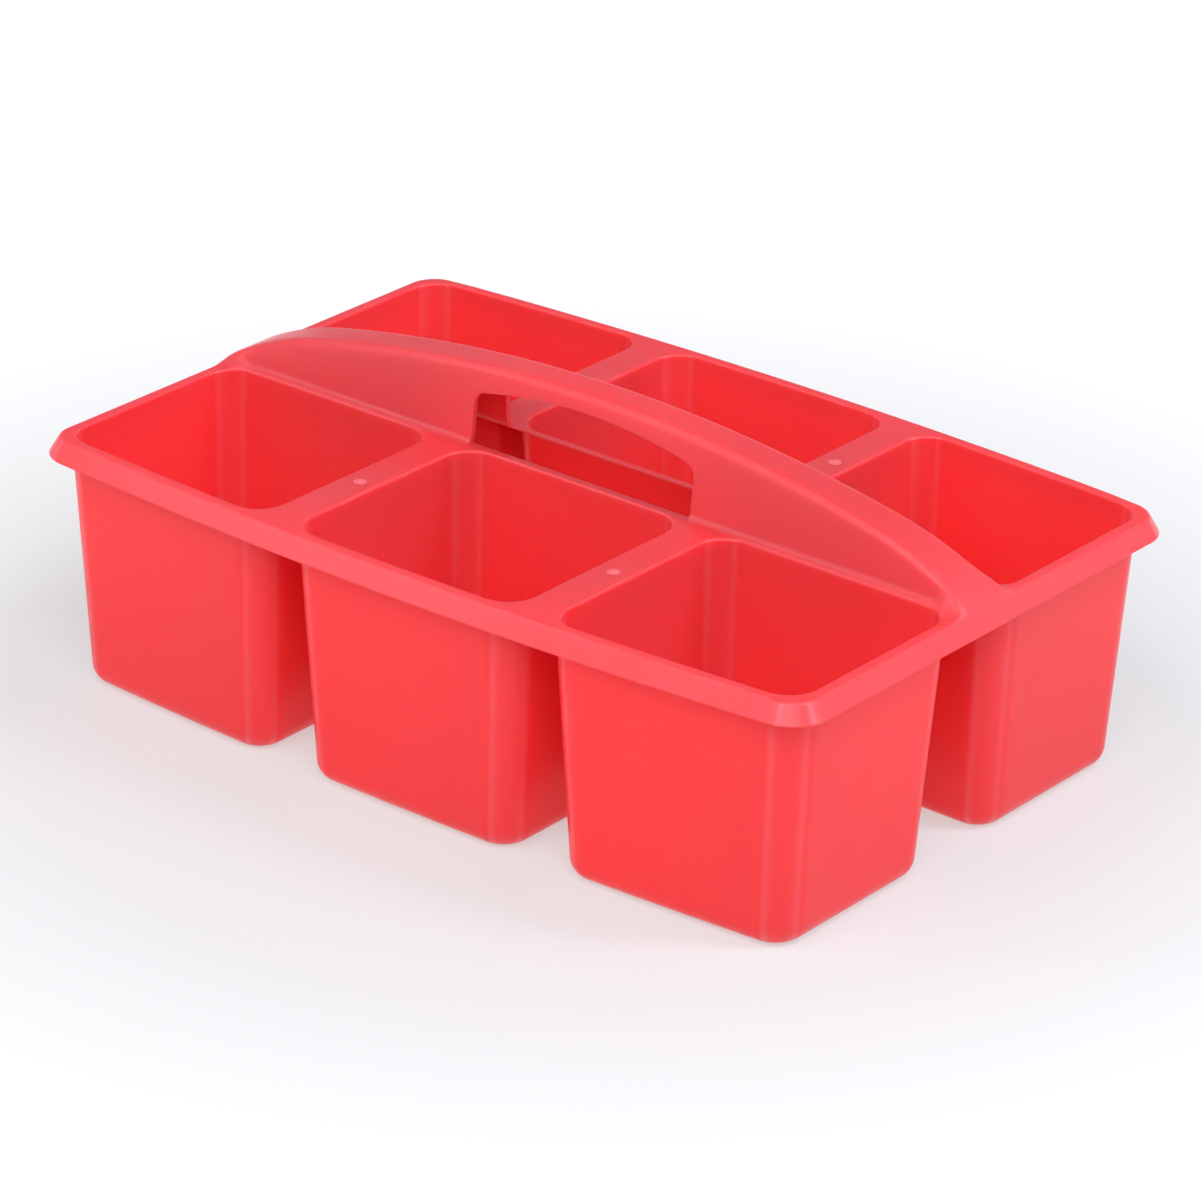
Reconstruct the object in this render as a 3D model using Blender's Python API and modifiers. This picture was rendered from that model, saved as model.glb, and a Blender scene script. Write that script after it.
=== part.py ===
"""Art supply caddy: six open cups under one deck, with a hollow carry arch along the middle.

The real caddy is one injection moulding. Here each zone of it is a section of its own, and
sections that would be continuous meet with SECTION_GAP between them. Metres, +Z up; the
origin is under the middle of the caddy, X runs along the arch and -Y is the front.
"""
from math import cos, pi, radians, sin, sqrt, tan

import bmesh
import bpy

# Overall size
LENGTH = 0.3296            # lip to lip, along the arch
CORNER_WIDTH = 0.2068      # lip to lip across the short sides
SIDE_BOW = 0.0081          # how far the middle of each long side stands out
DECK_HEIGHT = 0.0930       # underside of the cups to the top of the deck
ARCH_RISE = 0.0304         # deck to the crown of the carry arch

# Moulding
WALL = 0.0020
SECTION_GAP = 0.0003
RIM_DROP = 0.0075          # deck to the bottom of the turned-down lip
LIP_HEIGHT = 0.0010        # the part of the lip below the skirt, eased inwards
LIP_EASING = 0.0003
RIM_CORNER = 0.0130
RIM_EDGE = 0.0024          # radius where the deck turns down into the lip
SKIRT_LEAN = radians(30)

# Cup walls, inner faces at deck level, measured from the middle of the caddy
MIDDLE_CUP_X = 0.0477
SIDE_CUP_X = 0.0617
OUTER_X = 0.1567
INNER_Y = 0.0129
OUTER_Y = 0.0959
CUP_CORNER = 0.0105        # inside radius of the upright corners
CUP_DRAFT = 0.0050         # how much each wall leans in, deck to floor
CUP_FLOOR_EDGE = 0.0070    # outside radius round the floor

# Carry arch
ARCH_RADIUS = 0.575
TAIL_START = 0.121         # past here the arc bends down towards the rim
TAIL_RADIUS = 0.140
ARCH_BASE_Y = 0.0109
ARCH_LEAN = 0.080          # inward lean of the arch's walls, as a slope
SHOULDER = 0.0008          # how much narrower still the arch is at its top
ARCH_EDGE = 0.0034         # radius along the two top edges
SLOT_HALF_LENGTH = 0.0476
SLOT_HEIGHT = 0.0240       # deck to the top of the hand slot, at the middle
SLOT_TOP_RADIUS = 0.200
SLOT_CORNER = 0.0045
SLOT_SILL = 0.0004         # height of the sill above the deck

# Facets
CORNER_STEPS = 5
RIM_STEPS = 2
CUP_SIDE_STEPS = 5
RIM_SIDE_STEPS = 19
ARCH_STEPS = 44
SLOT_STEPS = 16

HALF_LENGTH = LENGTH / 2
HALF_WIDTH = CORNER_WIDTH / 2
CUP_TOP = DECK_HEIGHT - WALL - SECTION_GAP

RED = (0.82, 0.052, 0.055, 1.0)
PALE_RED = (0.84, 0.085, 0.092, 1.0)


def clear_scene():
    for obj in list(bpy.data.objects):
        bpy.data.objects.remove(obj, do_unlink=True)


def new_collection(name):
    collection = bpy.data.collections.new(name)
    bpy.context.scene.collection.children.link(collection)
    return collection


def plastic(name, color, roughness):
    material = bpy.data.materials.new(name)
    material.use_nodes = True
    shader = material.node_tree.nodes["Principled BSDF"]
    shader.inputs["Base Color"].default_value = color
    shader.inputs["Roughness"].default_value = roughness
    shader.inputs["Metallic"].default_value = 0.0
    return material


def new_object(name, bm, collection, material=None):
    """Turns a bmesh into an object with its faces pointing out."""
    bmesh.ops.recalc_face_normals(bm, faces=bm.faces)
    mesh = bpy.data.meshes.new(name)
    bm.to_mesh(mesh)
    bm.free()
    obj = bpy.data.objects.new(name, mesh)
    collection.objects.link(obj)
    if material:
        mesh.materials.append(material)
    mesh.shade_smooth()
    mesh.set_sharp_from_angle(angle=radians(35))
    return obj


def bowed(x, y):
    """Moves a point of the square plan to where the bowed long sides put it."""
    share = min(max((abs(y) - INNER_Y) / (HALF_WIDTH - INNER_Y), 0.0), 1.0)
    push = SIDE_BOW * (1.0 - (x / HALF_LENGTH) ** 2) * share
    return x, y + (push if y > 0 else -push)


def between(start, end, y, count):
    """Points on a straight side, without its ends."""
    return [(start + (end - start) * i / count, y) for i in range(1, count)]


def arc(cx, cy, radius, first, last, steps):
    """Points on an arc, both ends included; angles in quarter turns."""
    angles = [(first + (last - first) * i / steps) * pi / 2 for i in range(steps + 1)]
    return [(cx + radius * cos(a), cy + radius * sin(a)) for a in angles]


def rounded_rectangle(x0, x1, y0, y1, radius, side_steps):
    """Anticlockwise outline, whose sides along X have points enough to take the bow."""
    low, high = x0 + radius, x1 - radius
    outline = arc(low, y0 + radius, radius, 2, 3, CORNER_STEPS)
    outline += between(low, high, y0, side_steps)
    outline += arc(high, y0 + radius, radius, 3, 4, CORNER_STEPS)
    outline += arc(high, y1 - radius, radius, 0, 1, CORNER_STEPS)
    outline += between(high, low, y1, side_steps)
    outline += arc(low, y1 - radius, radius, 1, 2, CORNER_STEPS)
    return [bowed(x, y) for x, y in outline]


def add_ring(bm, outline, z):
    return [bm.verts.new((x, y, z)) for x, y in outline]


def join_rings(bm, first, second):
    count = len(first)
    for i in range(count):
        j = (i + 1) % count
        bm.faces.new((first[i], first[j], second[j], second[i]))


def cup(name, x0, x1, row, collection, material):
    """An open cup: row is -1 at the front and 1 at the rear."""
    def outline(inset):
        y0, y1 = sorted((row * (INNER_Y + inset), row * (OUTER_Y - inset)))
        return rounded_rectangle(
            x0 + inset, x1 - inset, y0, y1, CUP_CORNER - inset, CUP_SIDE_STEPS)

    bm = bmesh.new()
    top = add_ring(bm, outline(-WALL), CUP_TOP)
    floor = add_ring(bm, outline(CUP_DRAFT - WALL), 0.0)
    join_rings(bm, top, floor)
    bm.faces.new(floor)
    obj = new_object(name, bm, collection, material)
    edge = obj.modifiers.new("floor_edge", "BEVEL")
    edge.limit_method = "ANGLE"
    edge.angle_limit = radians(60)
    edge.width = CUP_FLOOR_EDGE
    edge.segments = 3
    shell = obj.modifiers.new("wall", "SOLIDIFY")
    shell.thickness = WALL
    shell.offset = -1.0
    shell.use_even_offset = True
    return obj


def rim_profile():
    """The lip's cross-section as (inset from the lip, height over the deck), outside first."""
    def turned(radius, angle):
        return centre - radius * cos(angle), radius * sin(angle) - RIM_EDGE

    skirt_rise = RIM_DROP - LIP_HEIGHT - RIM_EDGE * (1.0 - sin(SKIRT_LEAN))
    centre = RIM_EDGE * cos(SKIRT_LEAN) + skirt_rise * tan(SKIRT_LEAN)
    angles = [SKIRT_LEAN + (pi / 2 - SKIRT_LEAN) * i / RIM_STEPS for i in range(RIM_STEPS + 1)]
    outside = [(LIP_EASING, -RIM_DROP), (0.0, LIP_HEIGHT - RIM_DROP)]
    outside += [turned(RIM_EDGE, angle) for angle in angles]
    inside = [turned(RIM_EDGE - WALL, angle) for angle in reversed(angles)]
    inside += [(WALL, LIP_HEIGHT - RIM_DROP), (WALL - LIP_EASING, -RIM_DROP)]
    return outside, inside


def rim(collection, material):
    """The frame round the cups and the lip turned down outside it, swept along the outline."""
    def ring(inset, height):
        outline = rounded_rectangle(
            inset - HALF_LENGTH, HALF_LENGTH - inset, inset - HALF_WIDTH, HALF_WIDTH - inset,
            RIM_CORNER - inset, RIM_SIDE_STEPS)
        return add_ring(bm, outline, DECK_HEIGHT + height)

    bm = bmesh.new()
    outside, inside = rim_profile()
    mouths = rounded_rectangle(
        -OUTER_X, OUTER_X, -OUTER_Y, OUTER_Y, CUP_CORNER, RIM_SIDE_STEPS)
    rings = [ring(*point) for point in outside]
    rings += [add_ring(bm, mouths, DECK_HEIGHT), add_ring(bm, mouths, DECK_HEIGHT - WALL)]
    rings += [ring(*point) for point in inside]
    for i, first in enumerate(rings):
        join_rings(bm, first, rings[(i + 1) % len(rings)])
    return new_object("rim", bm, collection, material)


def divider(name, side, row, collection, material):
    """The deck strip between two cups of one row, flared where their corners round off."""
    low = MIDDLE_CUP_X
    high = SIDE_CUP_X
    y_arch = INNER_Y + SECTION_GAP
    y_rim = OUTER_Y - SECTION_GAP
    r = CUP_CORNER
    near = y_arch - SECTION_GAP + r
    far = OUTER_Y - r
    skip = 0.2                         # the part of each corner arc that the neighbours cover
    outline = arc(low - r, near, r, -1 + skip, 0, CORNER_STEPS)
    outline += arc(low - r, far, r, 0, 1 - skip, CORNER_STEPS)
    outline += [(low - r * cos((1 - skip) * pi / 2), y_rim)]
    outline = [(x, min(max(y, y_arch), y_rim)) for x, y in outline]
    mirrored = [(low + high - x, y) for x, y in reversed(outline)]
    points = [bowed(side * x, row * y) for x, y in outline + mirrored]
    bm = bmesh.new()
    plate = bm.faces.new(add_ring(bm, points, DECK_HEIGHT))
    grown = bmesh.ops.extrude_face_region(bm, geom=[plate])["geom"]
    lowered = [v for v in grown if isinstance(v, bmesh.types.BMVert)]
    bmesh.ops.translate(bm, verts=lowered, vec=(0, 0, -WALL))
    return new_object(name, bm, collection, material)


def arch_height(x):
    """Height of the arch's top over the deck: a flat arc that bends down towards the rim."""
    arc_height = ARCH_RISE - ARCH_RADIUS + sqrt(ARCH_RADIUS ** 2 - x ** 2)
    return arc_height - max(abs(x) - TAIL_START, 0.0) ** 2 / (2 * TAIL_RADIUS)


def arch_section(x):
    """Half of the arch's cross-section at x: ledge, wall, rounded edge and top, towards -Y."""
    height = arch_height(x)
    edge = min(ARCH_EDGE, height * 0.45)
    wall_top = ARCH_BASE_Y - SHOULDER - ARCH_LEAN * (height - edge)
    points = [(INNER_Y, 0.0), (ARCH_BASE_Y, 0.0), (wall_top, height - edge)]
    points += arc(wall_top - edge, height - edge, edge, 0, 1, 3)[1:]
    points.append((0.0, height))
    return [(-y, DECK_HEIGHT + z) for y, z in points]


def slot_cutter(collection):
    """Prism through both walls of the arch: flat sill, gently arched top."""
    sill = DECK_HEIGHT + SLOT_SILL
    inside = SLOT_HALF_LENGTH - SLOT_CORNER
    centre = DECK_HEIGHT + SLOT_HEIGHT - SLOT_TOP_RADIUS
    shoulder = centre + sqrt(SLOT_TOP_RADIUS ** 2 - inside ** 2) - SLOT_CORNER
    right = arc(inside, shoulder, SLOT_CORNER, 0, 1, CORNER_STEPS)
    top = []
    for i in range(1, SLOT_STEPS):
        x = inside - 2 * inside * i / SLOT_STEPS
        top.append((x, centre + sqrt(SLOT_TOP_RADIUS ** 2 - x ** 2)))
    left = [(-x, z) for x, z in reversed(right)]
    outline = [(-SLOT_HALF_LENGTH, sill), (SLOT_HALF_LENGTH, sill)] + right + top + left
    bm = bmesh.new()
    face = bm.faces.new([bm.verts.new((x, -0.03, z)) for x, z in outline])
    grown = bmesh.ops.extrude_face_region(bm, geom=[face])["geom"]
    moved = [v for v in grown if isinstance(v, bmesh.types.BMVert)]
    bmesh.ops.translate(bm, verts=moved, vec=(0, 0.06, 0))
    cutter = new_object("slot_cutter", bm, collection)
    cutter.hide_render = True
    cutter.display_type = "WIRE"
    return cutter


def carry_arch(collection, material, cutter):
    """The hollow arch on the inner edges of both rows, open below, with its hand slot."""
    end = OUTER_X - SECTION_GAP
    bm = bmesh.new()
    rows = []
    for i in range(ARCH_STEPS + 1):
        x = -end * cos(pi * i / ARCH_STEPS)
        rows.append([bm.verts.new((x, y, z)) for y, z in arch_section(x)])
    for first, second in zip(rows, rows[1:]):
        for j in range(len(first) - 1):
            bm.faces.new((first[j], second[j], second[j + 1], first[j + 1]))
    obj = new_object("carry_arch", bm, collection, material)
    mirror = obj.modifiers.new("both_sides", "MIRROR")
    mirror.use_axis = (False, True, False)
    mirror.merge_threshold = 0.00005
    shell = obj.modifiers.new("wall", "SOLIDIFY")
    shell.thickness = WALL
    shell.offset = -1.0
    shell.use_even_offset = True
    slot = obj.modifiers.new("hand_slot", "BOOLEAN")
    slot.operation = "DIFFERENCE"
    slot.solver = "EXACT"
    slot.object = cutter
    return obj


def build():
    clear_scene()
    caddy = new_collection("art_supply_caddy")
    cutters = new_collection("cutters")
    columns = (
        ("left", -OUTER_X, -SIDE_CUP_X),
        ("middle", -MIDDLE_CUP_X, MIDDLE_CUP_X),
        ("right", SIDE_CUP_X, OUTER_X),
    )
    for row_name, row in (("front", -1), ("rear", 1)):
        for column, x0, x1 in columns:
            name = f"cup_{row_name}_{column}"
            cup(name, x0, x1, row, caddy, plastic(name, RED, 0.42))
        for column, side in (("left", -1), ("right", 1)):
            name = f"divider_{row_name}_{column}"
            divider(name, side, row, caddy, plastic(name, PALE_RED, 0.45))
    rim(caddy, plastic("rim", PALE_RED, 0.40))
    carry_arch(caddy, plastic("carry_arch", PALE_RED, 0.42), slot_cutter(cutters))


build()
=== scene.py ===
"""The looks of the art supply caddy: one continuous red moulding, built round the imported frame.

The CAD holds the caddy as sections that meet with small gaps. The real caddy is one sheet of
plastic that runs from the lip over the deck, down into the six cups and up over the carry
arch. This script makes that sheet, gives it its thickness, cuts the hand slot through the
arch, and finishes it as satin moulded polypropylene.
"""
from collections import namedtuple
from math import asin, atan, atan2, cos, hypot, pi, radians, sin, sqrt, tan

import bmesh
import bpy
from mathutils import Matrix, Vector
from mathutils.geometry import delaunay_2d_cdt


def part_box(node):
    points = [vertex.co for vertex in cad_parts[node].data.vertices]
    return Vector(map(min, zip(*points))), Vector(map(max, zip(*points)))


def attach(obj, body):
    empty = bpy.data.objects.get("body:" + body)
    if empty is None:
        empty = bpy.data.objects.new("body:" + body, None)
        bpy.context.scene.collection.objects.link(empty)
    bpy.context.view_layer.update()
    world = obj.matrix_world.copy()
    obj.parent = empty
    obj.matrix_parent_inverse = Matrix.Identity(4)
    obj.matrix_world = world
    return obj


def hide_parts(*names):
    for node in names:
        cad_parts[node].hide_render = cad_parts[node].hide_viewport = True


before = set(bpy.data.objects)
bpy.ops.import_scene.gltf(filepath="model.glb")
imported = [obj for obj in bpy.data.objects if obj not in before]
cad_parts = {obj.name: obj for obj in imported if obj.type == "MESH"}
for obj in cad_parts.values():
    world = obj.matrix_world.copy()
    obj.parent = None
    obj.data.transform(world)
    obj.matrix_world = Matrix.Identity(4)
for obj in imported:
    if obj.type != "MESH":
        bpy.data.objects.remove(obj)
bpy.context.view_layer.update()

MM = 0.001
CAD_NODES = sorted(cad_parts)

# Deck and lip
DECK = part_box("rim")[1].z
HALF_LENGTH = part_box("rim")[1].x
SIDE_BOW = 8.1 * MM              # how far the middle of each long side stands out
HALF_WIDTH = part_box("rim")[1].y - SIDE_BOW      # at the ends
WALL = 2.0 * MM
RIM_DROP = 7.5 * MM
RIM_CORNER = 13.0 * MM
RIM_EDGE = 2.2 * MM              # radius where the deck turns down
END_CROWN = 0.8 * MM             # how far the deck falls away towards each end
END_CROWN_REACH = 32 * MM
LIP_EDGE = 0.5 * MM              # radius at the bottom of the lip
SKIRT_LEAN = radians(30)

# Cups, inner wall faces at deck level
MIDDLE_CUP_X = 47.7 * MM
SIDE_CUP_X = 61.7 * MM
OUTER_X = 156.7 * MM
INNER_Y = 12.9 * MM
OUTER_Y = 95.9 * MM
CUP_CORNER = 10.5 * MM
CORNER_TAPER = 0.25              # share of the draft by which the upright corners tighten
CUP_SLOPE = 5.0 * MM / DECK      # lean of the walls: 5 mm from the deck to the ground
CUP_SLANT = hypot(1.0, CUP_SLOPE)
MOUTH_EDGE = 1.0 * MM
FLOOR_EDGE = 5.0 * MM

# Carry arch
ARCH_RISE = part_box("carry_arch")[1].z - DECK
ARCH_RADIUS = 575 * MM
TAIL_START = 121 * MM            # past here the arc bends down towards the rim
TAIL_RADIUS = 140 * MM
TAIL_FADE = 157 * MM             # past here what is left of its height dies away
TAIL_END = 168 * MM
ARCH_BASE_Y = 10.9 * MM
ARCH_LEAN = 0.08                 # slope of the arch's walls
SHOULDER = 0.8 * MM              # how much narrower still the arch is at its top
ARCH_FOOT = 3.0 * MM             # radius where the arch's wall meets the deck
ARCH_EDGE = 3.4 * MM             # radius along the arch's top edges
SPREAD_START = 146 * MM          # past here the arch softens into the rim
SPREAD_END = 159 * MM
TAIL_WIDENING = 5.5 * MM         # what the softening adds to the arch's width and radii
TAIL_FOOT = 6.0 * MM
TAIL_EDGE = 0.5 * MM
FLAT_SHARE = 0.04                # least share of the wall that stays flat between its radii

# Hand slot
SLOT_HALF_LENGTH = 47.6 * MM
SLOT_HEIGHT = 24.0 * MM
SLOT_TOP_RADIUS = 200 * MM
SLOT_CORNER = 4.5 * MM
SLOT_SILL = 0.06 * MM

# Mesh
HOLD = 0.3 * MM                  # width of the strip that keeps a flat face flat beside a curve
CORNER_STEPS = 14
ARC_STEPS = 7
WALL_STEPS = 6
FOOT_STEPS = 5
EDGE_STEPS = 6
CUP_END_STEPS = 9
CUP_SIDE_STEPS = 12
RIM_END_STEPS = 6
RIM_SIDE_STEPS = 26
GAP_STEPS = 7                    # along the arch, from one cup's straight side to the next's
TAIL_STEPS = 12
SLOT_CORNER_STEPS = 8
SLOT_TOP_STEPS = 16
FILL_STEP = 1.8 * MM             # extra points on the deck, where the arch's foot spreads
FILL_REACH = 20
FILL_MARGIN = 0.5 * MM
EVEN_SHARES = (0.08, 0.36, 0.64, 0.92)          # rows across a flat stretch, close to its ends
LEAST_FOOT = 0.5 * MM            # least widths of the rows over the arch's foot and its wall
LEAST_WALL = 0.2 * MM
CRISP_EDGE = radians(32)
WELD = 1e-6

CUPS = [(-OUTER_X, -SIDE_CUP_X), (-MIDDLE_CUP_X, MIDDLE_CUP_X), (SIDE_CUP_X, OUTER_X)]


def smoothstep(value, start, end):
    share = min(max((value - start) / (end - start), 0.0), 1.0)
    return share * share * (3.0 - 2.0 * share)


def blend(start, end, count):
    """The places between start and end that cut the way into count equal steps."""
    return [start + (end - start) * i / count for i in range(1, count)]


def bowed(x, y):
    """Moves a point of the square plan to where the bowed long sides put it."""
    share = min(max((abs(y) - INNER_Y) / (HALF_WIDTH - INNER_Y), 0.0), 1.0)
    return x, y + SIDE_BOW * (1.0 - (x / HALF_LENGTH) ** 2) * share


def corner(x, y, radius, quarter):
    """A quarter circle, both ends included, that starts quarter turns round from +X."""
    turns = [(quarter + i / CORNER_STEPS) * pi / 2 for i in range(CORNER_STEPS + 1)]
    return [(x + radius * cos(turn), y + radius * sin(turn)) for turn in turns]


# ---- The carry arch as a height over the deck ----

Section = namedtuple("Section", "height outer foot_top edge_start inner base run foot edge")


def arch_height(x):
    """Height of the arch's top over the deck: a flat arc that bends down onto the rim."""
    height = ARCH_RISE - ARCH_RADIUS + sqrt(ARCH_RADIUS ** 2 - x ** 2)
    height -= max(abs(x) - TAIL_START, 0.0) ** 2 / (2 * TAIL_RADIUS)
    return max(height, 0.0) * smoothstep(TAIL_END - abs(x), 0.0, TAIL_END - TAIL_FADE)


def section(x, spread):
    """Half the arch's cross section at x, from the deck (outer) to its flat top (inner)."""
    height = max(arch_height(x), WELD)
    base = ARCH_BASE_Y + TAIL_WIDENING * spread
    crown = ARCH_BASE_Y - SHOULDER - ARCH_LEAN * height
    run = base - crown
    steep = atan2(height, run)
    foot = ARCH_FOOT + TAIL_FOOT * spread
    edge = ARCH_EDGE + TAIL_EDGE * spread
    bend = tan(steep / 2)
    scale = min(1.0, (1.0 - FLAT_SHARE) * hypot(run, height) / ((foot + edge) * bend))
    foot *= scale
    edge *= scale
    outer = base + foot * bend
    inner = crown - edge * bend
    return Section(height, outer, outer - foot * sin(steep), inner + edge * sin(steep),
                   inner, base, run, foot, edge)


def arch_at(x, y):
    """Height that the arch adds to the deck at a point of the plan."""
    part = section(x, smoothstep(abs(x), SPREAD_START, SPREAD_END))
    y = abs(y)
    if y >= part.outer:
        return 0.0
    if y >= part.foot_top:
        return part.foot - sqrt(max(part.foot ** 2 - (part.outer - y) ** 2, 0.0))
    if y >= part.edge_start:
        return part.height * (part.base - y) / part.run
    if y >= part.inner:
        return part.height - part.edge + sqrt(max(part.edge ** 2 - (y - part.inner) ** 2, 0.0))
    return part.height


def deck_at(x, y):
    """Height of the show side over the flat of the deck at a point of the plan."""
    near_end = max(1.0 - (HALF_LENGTH - abs(x)) / END_CROWN_REACH, 0.0)
    return arch_at(x, y) - END_CROWN * near_end ** 2


def lifted(x, y, z):
    """A point near the deck, moved with it. The lift fades out down the lip and the cups."""
    return Vector((x, y, DECK + z + deck_at(x, y) * min(max(1.0 + z / RIM_DROP, 0.0), 1.0)))


# ---- Profiles: (inset, height over the deck, normal's inset, normal's height) ----

def cup_profile():
    """From the deck over the mouth's edge, down the drafted wall and round onto the floor."""
    lean = atan(CUP_SLOPE)
    mouth = -MOUTH_EDGE * (CUP_SLANT - CUP_SLOPE)
    floor = DECK - WALL
    depth = floor - FLOOR_EDGE
    centre = CUP_SLOPE * depth + FLOOR_EDGE * CUP_SLANT
    rows = [(mouth - HOLD, 0.0, 0.0, 1.0)]
    for i in range(ARC_STEPS + 1):
        turn = (pi / 2 - lean) * i / ARC_STEPS
        rows.append((mouth + MOUTH_EDGE * sin(turn), MOUTH_EDGE * (cos(turn) - 1.0),
                     sin(turn), cos(turn)))
    top = -rows[-1][1]
    foot = depth + FLOOR_EDGE * sin(lean)
    for down in [top + HOLD] + blend(top, foot, WALL_STEPS) + [foot - HOLD]:
        rows.append((CUP_SLOPE * down, -down, cos(lean), sin(lean)))
    for i in range(ARC_STEPS + 1):
        turn = lean + (pi / 2 - lean) * i / ARC_STEPS
        rows.append((centre - FLOOR_EDGE * cos(turn), -depth - FLOOR_EDGE * sin(turn),
                     cos(turn), sin(turn)))
    rows.append((centre + HOLD, -floor, 0.0, 1.0))
    return rows


def rim_profile():
    """From the bottom of the lip up the leaning skirt and over onto the deck."""
    wide, high = cos(SKIRT_LEAN), sin(SKIRT_LEAN)
    rise = RIM_DROP - RIM_EDGE - LIP_EDGE + (RIM_EDGE - LIP_EDGE) * high
    centre = RIM_EDGE * wide + LIP_EDGE * (1.0 - wide) + rise * tan(SKIRT_LEAN)
    rows = []
    for i in range(ARC_STEPS + 1):
        turn = -pi / 2 + (pi / 2 + SKIRT_LEAN) * i / ARC_STEPS
        rows.append((LIP_EDGE * (1.0 - cos(turn)), LIP_EDGE * (1.0 + sin(turn)) - RIM_DROP,
                     -cos(turn), sin(turn)))
    start = rows[-1]
    for share in EVEN_SHARES:
        rows.append((start[0] + rise * tan(SKIRT_LEAN) * share, start[1] + rise * share,
                     -wide, high))
    for i in range(ARC_STEPS + 1):
        turn = SKIRT_LEAN + (pi / 2 - SKIRT_LEAN) * i / ARC_STEPS
        rows.append((centre - RIM_EDGE * cos(turn), RIM_EDGE * (sin(turn) - 1.0),
                     -cos(turn), sin(turn)))
    rows.append((centre + HOLD / 2, 0.0, 0.0, 1.0))
    return rows


CUP_ROWS = cup_profile()
RIM_ROWS = rim_profile()
BAND = INNER_Y + CUP_ROWS[0][0]                 # half width of the arch's strip of the deck
BAND_END = HALF_LENGTH - RIM_ROWS[-1][0]


# ---- Plan outlines of the rear half ----

def arch_lines(x):
    """Where the strip under the arch has its points at x, from its edge to the middle."""
    part = section(x, 0.0)
    top = min(part.foot_top, BAND - LEAST_FOOT)
    steep = atan2(part.height, part.run)
    first = asin(min(max((part.outer - BAND) / part.foot, 0.0), 0.9))
    lines = [BAND]
    for i in range(1, FOOT_STEPS + 1):
        turn = first + (steep - first) * i / FOOT_STEPS
        lines.append(BAND - (BAND - top) * (sin(turn) - sin(first)) / (sin(steep) - sin(first)))
    start = min(part.edge_start, top - LEAST_WALL)
    lines += [top + (start - top) * share for share in EVEN_SHARES]
    for i in range(EDGE_STEPS + 1):
        turn = steep * (1 - i / EDGE_STEPS)
        lines.append(part.inner + (start - part.inner) * sin(turn) / sin(steep))
    lines += [part.inner - HOLD, part.inner * 0.66, part.inner * 0.33, 0.0]
    even = [BAND * (1 - i / (len(lines) - 1)) for i in range(len(lines))]
    share = smoothstep(abs(x), SPREAD_START, SPREAD_END)
    return [a + (b - a) * share for a, b in zip(lines, even)]


# Rows beside that strip, where the arch's foot spreads over the deck: closer ones first
FLARE_STEP = 0.6 * MM
FLARE_LINES = [BAND + FLARE_STEP * i for i in (1, 2, 3, 4, 6, 8, 10, 12, 14, 16, 18)]


def rim_half(inset):
    """An outline from the middle of the right end round the rear to the middle of the left."""
    x = HALF_LENGTH - inset
    y = HALF_WIDTH - inset
    radius = RIM_CORNER - inset
    end = [(x, line) for line in reversed(arch_lines(x))]
    end += [(x, line) for line in FLARE_LINES + blend(FLARE_LINES[-1], y - radius, RIM_END_STEPS)]
    end += corner(x - radius, y - radius, radius, 0)
    rear = [(along, y) for along in blend(x - radius, radius - x, RIM_SIDE_STEPS)]
    return [bowed(*point) for point in end + rear + [(-px, py) for px, py in reversed(end)]]


def cup_outline(left, right, inset, radius):
    """A cup's whole outline, anticlockwise from the right end of its side by the arch."""
    x0, x1 = left + inset + radius, right - inset - radius
    y0, y1 = INNER_Y + inset + radius, OUTER_Y - inset - radius
    points = corner(x1, y0, radius, -1)
    points += [(x1 + radius, y) for y in blend(y0, y1, CUP_END_STEPS)]
    points += corner(x1, y1, radius, 0)
    points += [(x, y1 + radius) for x in blend(x1, x0, CUP_SIDE_STEPS)]
    points += corner(x0, y1, radius, 1)
    points += [(x0 - radius, y) for y in blend(y1, y0, CUP_END_STEPS)]
    points += corner(x0, y0, radius, 2)
    points += [(x, y0 - radius) for x in blend(x0, x1, CUP_SIDE_STEPS)]
    return [bowed(*point) for point in points]


# ---- The sheet ----

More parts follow.
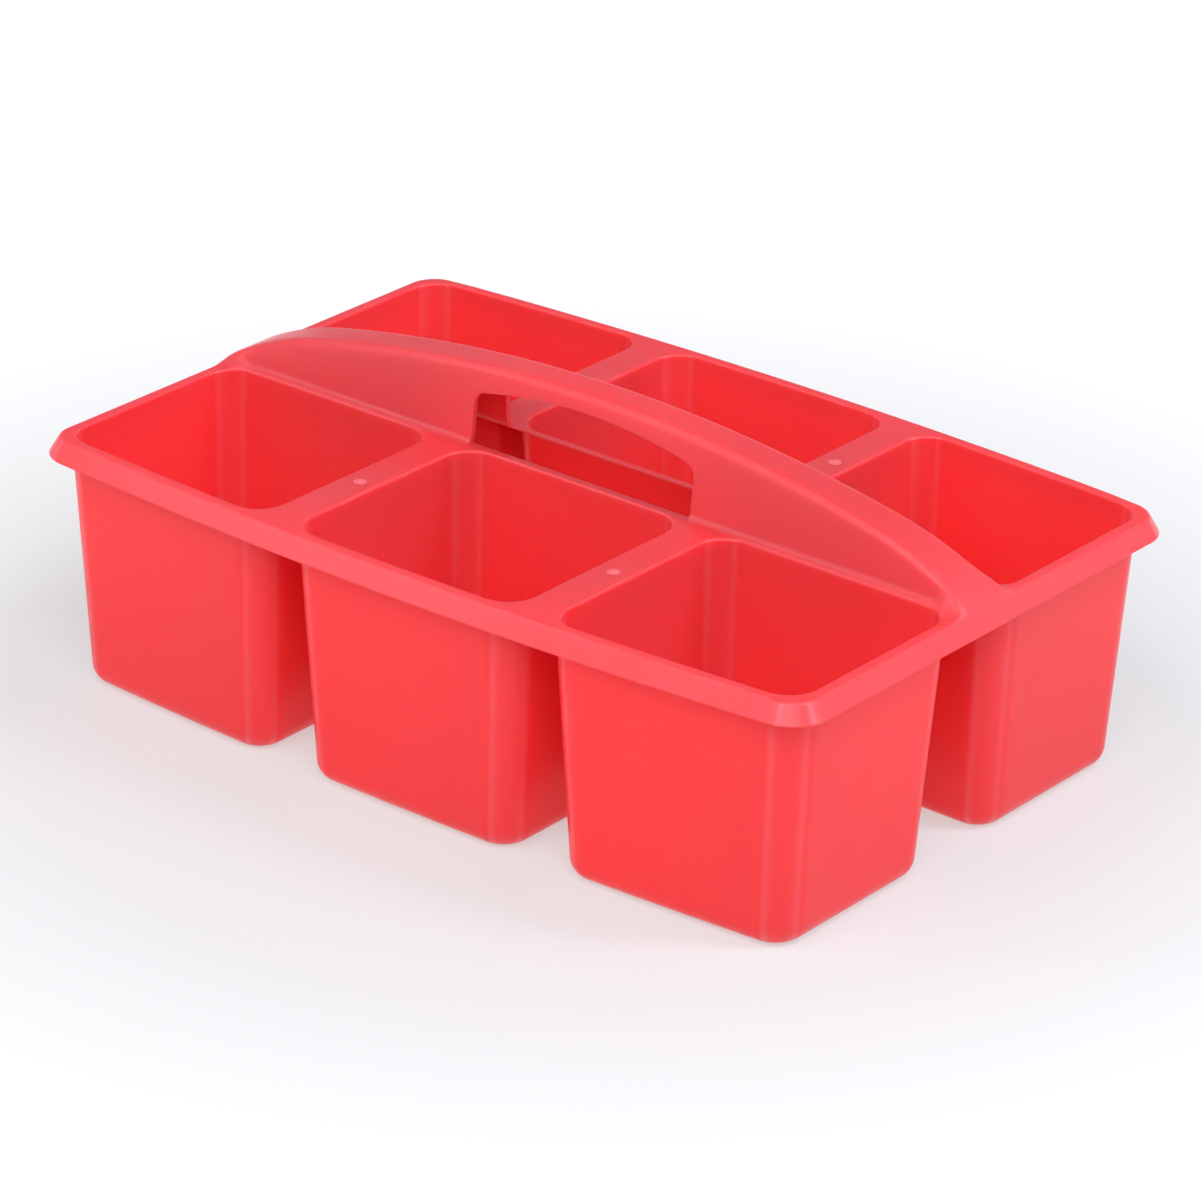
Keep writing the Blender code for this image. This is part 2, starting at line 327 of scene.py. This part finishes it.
class Sheet:
    """Points of the show side, each with a twin on the back, and the faces between them."""

    def __init__(self):
        self.show, self.back, self.twin, self.faces = [], [], [], []
        self.show_at, self.back_at = {}, {}

    def weld(self, places, known, place):
        key = tuple(round(value / WELD) for value in place)
        if key not in known:
            known[key] = len(places)
            places.append(Vector(place))
        return known[key]

    def add(self, show, back):
        """The number of the point at show, which is a new one unless one is already there."""
        number = self.weld(self.show, self.show_at, show)
        if number == len(self.twin):
            self.twin.append(self.weld(self.back, self.back_at, back))
        return number

    def strip(self, first, second, closed):
        """Joins two rows of points. first is the outer one, and both run anticlockwise."""
        count = len(first) if closed else len(first) - 1
        for i in range(count):
            j = (i + 1) % len(first)
            self.faces.append((first[i], first[j], second[j], second[i]))

    def mirror(self):
        """Adds the front half, which mirrors the rear one."""
        flip = Vector((1, -1, 1))
        matching = [self.add(self.show[i] * flip, self.back[self.twin[i]] * flip)
                    for i in range(len(self.show))]
        self.faces += [tuple(matching[i] for i in reversed(face)) for face in self.faces]

    def solid(self, name):
        """The closed mesh: show side, back side, and the strip round the open edge."""
        count = len(self.show)
        edges = set()
        polygons = []
        for face in self.faces:
            polygons.append(face)
            back = [self.twin[i] for i in reversed(face)]
            back = [n for i, n in enumerate(back) if n != back[i - 1]]
            if len(set(back)) > 2:
                polygons.append(tuple(count + n for n in back))
            for i in range(len(face)):
                a, b = face[i - 1], face[i]
                edges.symmetric_difference_update({(min(a, b), max(a, b))})
        ordered = {(face[i - 1], face[i]) for face in self.faces for i in range(len(face))}
        for a, b in edges:                      # what is left here borders only one face
            if (a, b) not in ordered:
                a, b = b, a
            polygons.append((b, a, count + self.twin[a], count + self.twin[b]))
        mesh = bpy.data.meshes.new(name)
        mesh.from_pydata(self.show + self.back, [], polygons)
        for polygon in mesh.polygons:
            polygon.material_index = int(min(polygon.vertices) >= count)
        mesh.validate()
        return mesh


def rim_rows(sheet):
    """The lip, the skirt and the turn onto the deck. Returns the innermost row."""
    inner_start = LIP_EDGE + (WALL - LIP_EDGE) / cos(SKIRT_LEAN)
    previous = None
    for inset, height, out, up in RIM_ROWS:
        on_lip = up < sin(SKIRT_LEAN) - WELD
        back_inset = inner_start if on_lip else inset - WALL * out
        back_height = -RIM_DROP if on_lip else height - WALL * up
        row = []
        for (x, y), (bx, by) in zip(rim_half(inset), rim_half(back_inset)):
            show = lifted(x, y, height)
            back = Vector((bx, by, show.z - height + back_height))
            row.append(sheet.add(show, back))
        if previous:
            sheet.strip(previous, row, closed=False)
        previous = row
    return previous


def cup_rows(sheet, left, right):
    """One cup, from the deck to its floor. Returns its row on the deck."""
    under_inset = -WALL * (CUP_SLANT - CUP_SLOPE)
    mouth = cup_outline(left, right, CUP_ROWS[0][0], CUP_CORNER - CUP_ROWS[0][0])
    under = cup_outline(left, right, under_inset, CUP_CORNER - under_inset)
    under = [Vector((x, y, lifted(mx, my, -WALL).z)) for (x, y), (mx, my) in zip(under, mouth)]
    wall_end = CUP_SLOPE * (DECK - WALL - FLOOR_EDGE)
    rows = []
    for inset, height, out, up in CUP_ROWS:
        radius = CUP_CORNER - inset
        if inset > 0:
            radius = CUP_CORNER - CORNER_TAPER * min(inset, wall_end) - max(inset - wall_end, 0.0)
        back_inset = inset - WALL * out
        back_height = height - WALL * up
        show = cup_outline(left, right, inset, radius)
        back = cup_outline(left, right, back_inset, radius + WALL * out)
        below_deck = back_height < -WALL - HOLD
        row = []
        for (x, y), (bx, by), junction in zip(show, back, under):
            twin = Vector((bx, by, DECK + back_height)) if below_deck else junction
            row.append(sheet.add(lifted(x, y, height), twin))
        rows.append(row)
    for first, second in zip(rows, rows[1:]):
        sheet.strip(first, second, closed=True)
    sheet.faces.append(tuple(rows[-1]))
    return rows[0]


def stations():
    """Where the strip under the arch is divided along its length."""
    stops = [(0.0, 0), (MIDDLE_CUP_X - CUP_CORNER, CUP_SIDE_STEPS // 2),
             (SIDE_CUP_X + CUP_CORNER, GAP_STEPS), (OUTER_X - CUP_CORNER, CUP_SIDE_STEPS),
             (BAND_END, TAIL_STEPS)]
    places = []
    for (start, _), (end, count) in zip(stops, stops[1:]):
        places += blend(start, end, count) + [end]
    return [-x for x in reversed(places)] + [0.0] + places


def arch_rows(sheet):
    """The strip of the deck that rises into the carry arch. Returns its rear edge."""
    edge = []
    previous = None
    for x in stations():
        lines = arch_lines(x)
        points = [lifted(x, y, 0.0) for y in lines]
        row = []
        for i, point in enumerate(points):
            before = points[max(i - 1, 0)]
            after = points[i + 1] if i + 1 < len(points) else before * Vector((1, -1, 1))
            along = after - before
            normal = Vector((0.0, along.z, -along.y)).normalized()
            row.append(sheet.add(point, point - WALL * normal))
        if previous:
            for i in range(len(row) - 1):
                sheet.faces.append((previous[i], previous[i + 1], row[i + 1], row[i]))
        previous = row
        edge.append(row[0])
    return edge


def inside(point, loop):
    """Whether the loop goes round the point."""
    x, y = point
    found = False
    for (ax, ay), (bx, by) in zip(loop, loop[1:] + loop[:1]):
        if (ay > y) != (by > y) and x < ax + (y - ay) / (by - ay) * (bx - ax):
            found = not found
    return found


def clearance(point, loop):
    """How near the loop comes to the point."""
    spot = Vector(point)
    nearest = HALF_LENGTH
    for a, b in zip(loop, loop[1:] + loop[:1]):
        start, way = Vector(a), Vector(b) - Vector(a)
        share = min(max((spot - start).dot(way) / way.length_squared, 0.0), 1.0)
        nearest = min(nearest, (spot - start - way * share).length)
    return nearest


def deck_fill(sheet, rim, edge, cups):
    """The flat of the deck between the rim, the cups and the arch."""
    places = {sheet.show[number].x: number for number in edge}
    strip_end = len(arch_lines(0.0)) - 1
    loop = rim[strip_end:len(rim) - strip_end]
    reached = -BAND_END
    for (left, right), row in cups:
        gap = [x for x in sorted(places) if reached + WELD < x < left + CUP_CORNER - WELD]
        loop += [places[x] for x in gap]
        loop += list(reversed(row[:len(row) - CUP_SIDE_STEPS + 1]))
        reached = right - CUP_CORNER
    loop += [places[x] for x in sorted(places) if reached + WELD < x < BAND_END - WELD]
    outline = [sheet.show[number].xy[:] for number in loop]
    extra = set()
    for start in (SIDE_CUP_X + CUP_CORNER, -MIDDLE_CUP_X + CUP_CORNER, -BAND_END,
                  OUTER_X - CUP_CORNER):
        for y in FLARE_LINES:
            extra |= {(start + FILL_STEP * i, y) for i in range(-FILL_REACH, FILL_REACH)}
    extra = sorted(point for point in extra
                   if inside(point, outline) and clearance(point, outline) > FILL_MARGIN)
    flat = [Vector(point) for point in outline + extra]
    result = delaunay_2d_cdt(flat, [], [list(range(len(outline)))], 1, WELD)
    numbers = []
    for spot, sources in zip(result[0], result[3]):
        if sources and sources[0] < len(loop):
            numbers.append(loop[sources[0]])
        else:
            show = lifted(spot.x, spot.y, 0.0)
            numbers.append(sheet.add(show, show - Vector((0, 0, WALL))))
    for face in result[2]:
        a, b, c = [result[0][i] for i in face]
        turn = (b - a).cross(c - a)
        sheet.faces.append(tuple(numbers[i] for i in (face if turn > 0 else reversed(face))))


def moulding_mesh():
    sheet = Sheet()
    rim = rim_rows(sheet)
    cups = [(cup, cup_rows(sheet, *cup)) for cup in CUPS]
    edge = arch_rows(sheet)
    deck_fill(sheet, rim, edge, cups)
    sheet.mirror()
    return sheet.solid("caddy_moulding")


# ---- Hand slot ----

def slot_outline():
    """The slot in the XZ plane, from its bottom right corner anticlockwise."""
    centre_z = DECK + SLOT_HEIGHT - SLOT_TOP_RADIUS
    bottom = DECK + SLOT_SILL
    inner = SLOT_TOP_RADIUS - SLOT_CORNER
    corner_x = SLOT_HALF_LENGTH - SLOT_CORNER
    tilt = asin(corner_x / inner)
    corner_z = centre_z + inner * cos(tilt)
    half = [(SLOT_HALF_LENGTH, bottom)]
    for i in range(SLOT_CORNER_STEPS + 1):
        turn = (pi / 2 - tilt) * i / SLOT_CORNER_STEPS
        half.append((corner_x + SLOT_CORNER * cos(turn), corner_z + SLOT_CORNER * sin(turn)))
    for i in range(1, SLOT_TOP_STEPS):
        turn = tilt * (1 - i / SLOT_TOP_STEPS)
        half.append((SLOT_TOP_RADIUS * sin(turn), centre_z + SLOT_TOP_RADIUS * cos(turn)))
    top = [(0.0, centre_z + SLOT_TOP_RADIUS)]
    return half + top + [(-x, z) for x, z in reversed(half)]


def cut_slot(piece):
    """Cuts the hand slot through both walls of the arch."""
    outline = slot_outline()
    bm = bmesh.new()
    depth = 2 * INNER_Y
    ends = [[bm.verts.new((x, y, z)) for x, z in outline] for y in (-depth, depth)]
    bm.faces.new(ends[0])
    bm.faces.new(list(reversed(ends[1])))
    for i in range(len(outline)):
        bm.faces.new((ends[0][i - 1], ends[1][i - 1], ends[1][i], ends[0][i]))
    bmesh.ops.recalc_face_normals(bm, faces=bm.faces)
    mesh = bpy.data.meshes.new("slot_cutter")
    bm.to_mesh(mesh)
    bm.free()
    cutter = bpy.data.objects.new("slot_cutter", mesh)
    bpy.context.scene.collection.objects.link(cutter)
    cut = piece.modifiers.new("hand_slot", "BOOLEAN")
    cut.operation = "DIFFERENCE"
    cut.solver = "EXACT"
    cut.object = cutter
    apply_modifiers(piece)
    bpy.data.objects.remove(cutter)


def apply_modifiers(piece):
    """Replaces the piece's mesh by what its modifiers make of it."""
    graph = bpy.context.evaluated_depsgraph_get()
    finished = bpy.data.meshes.new_from_object(piece.evaluated_get(graph))
    piece.modifiers.clear()
    old = piece.data
    piece.data = finished
    bpy.data.meshes.remove(old)


def smooth(piece):
    """Smooth shading with crisp edges, whose normals follow the larger faces."""
    piece.data.shade_smooth()
    piece.data.set_sharp_from_angle(angle=CRISP_EDGE)
    weighted = piece.modifiers.new("weighted_normals", "WEIGHTED_NORMAL")
    weighted.mode = "FACE_AREA"
    weighted.weight = 60
    weighted.keep_sharp = True
    apply_modifiers(piece)


# ---- Gate nubs ----

NUB_X = (MIDDLE_CUP_X + SIDE_CUP_X) / 2
NUB_Y = 60.0 * MM
NUB_SIDES = 24
# Radius and height over the deck, in mm, from inside the deck up over the collar to the tip
NUB_PROFILE = ((2.4, -0.5), (2.4, 0.02), (2.1, 0.12), (1.5, 0.15), (1.0, 0.17), (0.80, 0.28),
               (0.70, 0.52), (0.45, 0.62))


def gate_nub_mesh(name):
    """The trimmed stub that an injection gate leaves, on its low round collar."""
    bm = bmesh.new()
    turns = [2 * pi * i / NUB_SIDES for i in range(NUB_SIDES)]
    rings = []
    for radius, height in NUB_PROFILE:
        rings.append([bm.verts.new((radius * cos(turn) * MM, radius * sin(turn) * MM,
                                    height * MM)) for turn in turns])
    for low, high in zip(rings, rings[1:]):
        for i in range(NUB_SIDES):
            bm.faces.new((low[i - 1], low[i], high[i], high[i - 1]))
    bm.faces.new(rings[-1])
    bm.faces.new(reversed(rings[0]))
    mesh = bpy.data.meshes.new(name)
    bm.to_mesh(mesh)
    bm.free()
    mesh.shade_smooth()
    return mesh


def add_gate_nubs(material):
    for row, y_side in (("front", -1), ("rear", 1)):
        for column, x_side in (("left", -1), ("right", 1)):
            name = f"gate_nub_{row}_{column}"
            nub = new_piece(name, gate_nub_mesh(name), material)
            nub.location = (x_side * NUB_X, y_side * NUB_Y, DECK)
            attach(nub, "root")


# ---- Materials ----

SHOW_DEEP = (0.975, 0.049, 0.055, 1.0)
SHOW_PALE = (0.985, 0.055, 0.061, 1.0)
# The back side (the cups' outside walls, the gaps between cups, the hollow of the arch and the
# underside) is a darker copy of the same red: painted shade, so it reads darker than the cup
# insides and the deck
SHADED_BACK_DEEP = (0.94, 0.033, 0.038, 1.0)
SHADED_BACK_PALE = (0.95, 0.037, 0.042, 1.0)
# Paler red that the painted highlights mix towards
RED_PAINTED_HIGHLIGHT = (1.0, 0.22, 0.26, 1.0)
RED_TORN = (0.90, 0.13, 0.14, 1.0)
# Strength of the painted highlight bands on the upright corners and on the rim's leaning corners
CORNER_PAINTED_HIGHLIGHT = 0.22
RIM_PAINTED_HIGHLIGHT = 0.6
# Strength of the painted highlight on sloping faces at and above the deck
EDGE_PAINTED_HIGHLIGHT = 0.16
# How much painted highlight a round corner gets, by the product of the normal's x and y: 0 on a
# flat side, and 0.5 in the middle of the corner. The two bands stand in for reflections of lights.
CORNER_HIGHLIGHT_BANDS = ((0.0, 0.0), (0.20, 0.0), (0.33, 1.0), (0.44, 0.25), (0.5, 0.2))
POLYPROPYLENE_IOR = 1.49
TINT_SCALE = 22                  # features per metre
WEAR_SCALE = 75
WAVE_SCALE = 38
GRAIN_SCALE = 2200
TORN_SCALE = 1400


def noise(tree, place, scale, detail, stretch=(1.0, 1.0, 1.0)):
    """A noise texture in the object's own space. scale counts its features per metre."""
    spread = tree.nodes.new("ShaderNodeMapping")
    spread.inputs["Scale"].default_value = stretch
    tree.links.new(place.outputs["Object"], spread.inputs["Vector"])
    texture = tree.nodes.new("ShaderNodeTexNoise")
    texture.inputs["Scale"].default_value = scale
    texture.inputs["Detail"].default_value = detail
    tree.links.new(spread.outputs["Vector"], texture.inputs["Vector"])
    return texture.outputs["Fac"]


def remap(tree, value, low, high, start=0.35, end=0.65):
    """Maps a value from start..end, which by default is where a noise mostly lies, to low..high."""
    node = tree.nodes.new("ShaderNodeMapRange")
    node.inputs["From Min"].default_value = start
    node.inputs["From Max"].default_value = end
    node.inputs["To Min"].default_value = low
    node.inputs["To Max"].default_value = high
    tree.links.new(value, node.inputs["Value"])
    return node.outputs["Result"]


def combine(tree, operation, first, second=0.0):
    """A maths node. Each of first and second is a socket or a number."""
    node = tree.nodes.new("ShaderNodeMath")
    node.operation = operation
    for socket, value in zip(node.inputs, (first, second)):
        if isinstance(value, (int, float)):
            socket.default_value = value
        else:
            tree.links.new(value, socket)
    return node.outputs["Value"]


def bump(tree, height, strength, distance, under=None):
    """The normal of a bumpy surface. under is the normal of the bumps that it lies on."""
    node = tree.nodes.new("ShaderNodeBump")
    node.inputs["Strength"].default_value = strength
    node.inputs["Distance"].default_value = distance
    tree.links.new(height, node.inputs["Height"])
    if under is not None:
        tree.links.new(under, node.inputs["Normal"])
    return node.outputs["Normal"]


def mix(tree, factor, first, second):
    """Mixes two colours, each of them a socket or a colour."""
    node = tree.nodes.new("ShaderNodeMix")
    node.data_type = "RGBA"
    tree.links.new(factor, node.inputs["Factor"])
    for name, value in (("A", first), ("B", second)):
        if isinstance(value, tuple):
            node.inputs[name].default_value = value
        else:
            tree.links.new(value, node.inputs[name])
    return node.outputs["Result"]


def painted_highlights(tree, place):
    """How much painted highlight the plastic gets: bands round its upright and rim corners, and a
    paler tone on sloping faces at and above the deck, both standing in for reflections of the
    lights.
    """
    normal = tree.nodes.new("ShaderNodeSeparateXYZ")
    tree.links.new(place.outputs["Normal"], normal.inputs["Vector"])
    x, y, z = (normal.outputs[axis] for axis in "XYZ")
    # Painted highlight bands round the upright corners and the rim's corners, placed by the
    # normal's direction
    across = combine(tree, "ABSOLUTE", combine(tree, "MULTIPLY", x, y))
    flat = combine(tree, "SUBTRACT", 1.0, combine(tree, "MULTIPLY", z, z))
    turn = combine(tree, "DIVIDE", across, combine(tree, "MAXIMUM", flat, 0.05))
    bands = tree.nodes.new("ShaderNodeValToRGB")
    ramp = bands.color_ramp
    for spot, value in CORNER_HIGHLIGHT_BANDS:
        stop = ramp.elements.new(spot)
        stop.color = (value, value, value, 1.0)
    ramp.elements.remove(ramp.elements[0])
    ramp.elements.remove(ramp.elements[-1])
    tree.links.new(turn, bands.inputs["Fac"])
    spot = tree.nodes.new("ShaderNodeSeparateXYZ")
    tree.links.new(place.outputs["Object"], spot.inputs["Vector"])
    height = spot.outputs["Z"]

    tilt = combine(tree, "ABSOLUTE", z)
    upright = remap(tree, tilt, 1.0, 0.0, 0.6, 0.85)
    strength = remap(tree, tilt, CORNER_PAINTED_HIGHLIGHT, RIM_PAINTED_HIGHLIGHT, 0.1, 0.5)
    below_deck = remap(tree, height, 1.0, 0.0, DECK - 0.6 * MM, DECK)
    corners = combine(tree, "MULTIPLY", bands.outputs["Color"], upright)
    corners = combine(tree, "MULTIPLY", corners, strength)
    corners = combine(tree, "MULTIPLY", corners, below_deck)

    # Painted highlight on sloping faces at and above the deck: the rounded edges of the mouths and
    # the rim, the arch's walls, and the rim's leaning skirt
    above_deck = remap(tree, height, 0.0, 1.0, DECK - 2.0 * MM, DECK - 0.3 * MM)
    above_lip = remap(tree, height, 0.0, 1.0, DECK - RIM_DROP - 0.5 * MM, DECK - RIM_DROP)
    leaning = combine(tree, "MULTIPLY", above_lip, remap(tree, z, 0.0, 1.0, 0.30, 0.45))
    sloping = remap(tree, z, 1.0, 0.0, 0.85, 0.98)
    edges = combine(tree, "MULTIPLY", combine(tree, "MAXIMUM", above_deck, leaning), sloping)
    edges = combine(tree, "MULTIPLY", edges, EDGE_PAINTED_HIGHLIGHT)
    return combine(tree, "MAXIMUM", corners, edges)


def new_material(name):
    """A material with its node tree, its shader and the coordinates on its object."""
    material = bpy.data.materials.new(name)
    material.use_nodes = True
    tree = material.node_tree
    return material, tree, tree.nodes["Principled BSDF"], tree.nodes.new("ShaderNodeTexCoord")


def red_plastic(name, deep, pale):
    """Satin red polypropylene: slightly translucent, with the faint grain of its mould."""
    material, tree, shader, place = new_material(name)
    shader.inputs["IOR"].default_value = POLYPROPYLENE_IOR
    shader.inputs["Specular IOR Level"].default_value = 0.32
    shader.inputs["Subsurface Weight"].default_value = 1.0
    shader.inputs["Subsurface Radius"].default_value = (1.0, 0.06, 0.06)
    shader.inputs["Subsurface Scale"].default_value = 10 * MM
    clouds = noise(tree, place, TINT_SCALE, 3, (1.0, 1.0, 0.5))
    tint = mix(tree, remap(tree, clouds, 0.0, 1.0), deep, pale)
    # Painted highlights: corners and sloping faces are mixed towards a paler red
    color = mix(tree, painted_highlights(tree, place), tint, RED_PAINTED_HIGHLIGHT)
    tree.links.new(color, shader.inputs["Base Color"])
    wear = noise(tree, place, WEAR_SCALE, 5, (1.0, 1.0, 0.6))
    tree.links.new(remap(tree, wear, 0.29, 0.37), shader.inputs["Roughness"])
    waves = bump(tree, noise(tree, place, WAVE_SCALE, 1), 0.5, 0.10 * MM)
    grain = bump(tree, noise(tree, place, GRAIN_SCALE, 2), 0.35, 0.03 * MM, waves)
    tree.links.new(grain, shader.inputs["Normal"])
    return material


def torn_plastic():
    """The same red where it was torn from the gate: paler, glossier and not translucent."""
    material, tree, shader, place = new_material("torn_polypropylene")
    shader.inputs["Base Color"].default_value = RED_TORN
    shader.inputs["Roughness"].default_value = 0.18
    shader.inputs["IOR"].default_value = POLYPROPYLENE_IOR
    torn = bump(tree, noise(tree, place, TORN_SCALE, 2), 0.8, 0.12 * MM)
    tree.links.new(torn, shader.inputs["Normal"])
    return material


def new_piece(name, mesh, material):
    piece = bpy.data.objects.new(name, mesh)
    bpy.context.scene.collection.objects.link(piece)
    mesh.materials.append(material)
    return piece


# ---- Stage ----

FLOOR_GREY = (0.3, 0.3, 0.3, 1.0)
FLOOR_NEAR = 0.48                # light that the floor gives off by itself under the caddy
FLOOR_FAR = 0.95
NEAR_RADIUS = 0.2
FAR_RADIUS = 0.6
FLOOR_REACH = 6.0
WORLD_COLOR = (0.92, 0.97, 1.12, 1.0)
WORLD_STRENGTH = 0.36
LIGHT_DISTANCE = 1.8
NEUTRAL = (1.0, 1.0, 1.0)
COOL = (0.90, 0.96, 1.10)

CAMERA_PLACE = Vector((1.09527, -1.38072, 0.86116))
CAMERA_AZIMUTH = radians(38.37)
CAMERA_ELEVATION = radians(24.85)
CAMERA_ROLL = radians(1.40)
CAMERA_LENS = 170.3


def add_camera():
    flat = cos(CAMERA_ELEVATION)
    look = Vector((-sin(CAMERA_AZIMUTH) * flat, cos(CAMERA_AZIMUTH) * flat,
                   -sin(CAMERA_ELEVATION)))
    level = Vector((cos(CAMERA_AZIMUTH), sin(CAMERA_AZIMUTH), 0.0))
    upright = level.cross(look)
    right = level * cos(CAMERA_ROLL) + upright * sin(CAMERA_ROLL)
    up = right.cross(look)
    data = bpy.data.cameras.new("camera")
    data.lens = CAMERA_LENS
    data.clip_end = 20
    camera = bpy.data.objects.new("camera", data)
    camera.matrix_world = Matrix.LocRotScale(
        CAMERA_PLACE, Matrix((right, up, -look)).transposed().to_quaternion(), None)
    bpy.context.scene.collection.objects.link(camera)
    bpy.context.scene.camera = camera


def add_softbox(name, azimuth, elevation, width, height, power, color=NEUTRAL):
    """A rectangular light that faces the caddy. azimuth is measured from +X."""
    flat = cos(radians(elevation))
    way = Vector((cos(radians(azimuth)) * flat, sin(radians(azimuth)) * flat,
                  sin(radians(elevation))))
    data = bpy.data.lights.new(name, "AREA")
    data.shape = "RECTANGLE"
    data.size = width
    data.size_y = height
    data.energy = power
    data.color = color
    light = bpy.data.objects.new(name, data)
    light.location = way * LIGHT_DISTANCE
    light.rotation_euler = way.to_track_quat("Z", "Y").to_euler()
    bpy.context.scene.collection.objects.link(light)


def white_floor():
    """Pale floor that gives off a little light of its own, more of it away from the caddy."""
    material, tree, shader, place = new_material("white_floor")
    shader.inputs["Base Color"].default_value = FLOOR_GREY
    shader.inputs["Roughness"].default_value = 0.8
    shader.inputs["Emission Color"].default_value = (1.0, 1.0, 1.0, 1.0)
    away = tree.nodes.new("ShaderNodeVectorMath")
    away.operation = "LENGTH"
    tree.links.new(place.outputs["Object"], away.inputs[0])
    glow = remap(tree, away.outputs["Value"], FLOOR_NEAR, FLOOR_FAR, NEAR_RADIUS, FAR_RADIUS)
    tree.links.new(glow, shader.inputs["Emission Strength"])
    return material


def add_stage():
    mesh = bpy.data.meshes.new("floor")
    bm = bmesh.new()
    bmesh.ops.create_grid(bm, x_segments=1, y_segments=1, size=FLOOR_REACH)
    bm.to_mesh(mesh)
    bm.free()
    floor = new_piece("floor", mesh, white_floor())
    world = bpy.data.worlds.new("studio")
    world.use_nodes = True
    background = world.node_tree.nodes["Background"]
    background.inputs["Color"].default_value = WORLD_COLOR
    background.inputs["Strength"].default_value = WORLD_STRENGTH
    bpy.context.scene.world = world
    bpy.context.scene.view_settings.view_transform = "Standard"
    add_softbox("front_softbox", -50, 46, 1.1, 1.1, 17.0)
    add_softbox("left_softbox", -98, 46, 0.4, 1.3, 6.5)
    add_softbox("right_softbox", 22, 48, 0.4, 1.3, 15.5, COOL)
    add_softbox("edge_strip", -134, 34, 0.3, 0.9, 3.5)


add_camera()
add_stage()
moulding = new_piece("caddy_moulding", moulding_mesh(),
                     red_plastic("red_show_side", SHOW_DEEP, SHOW_PALE))
# The back side gets the darker copy of the red as painted shade
moulding.data.materials.append(red_plastic("red_back_side_painted_shade", SHADED_BACK_DEEP, SHADED_BACK_PALE))
cut_slot(moulding)
smooth(moulding)
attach(moulding, "root")
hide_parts(*CAD_NODES)
add_gate_nubs(torn_plastic())
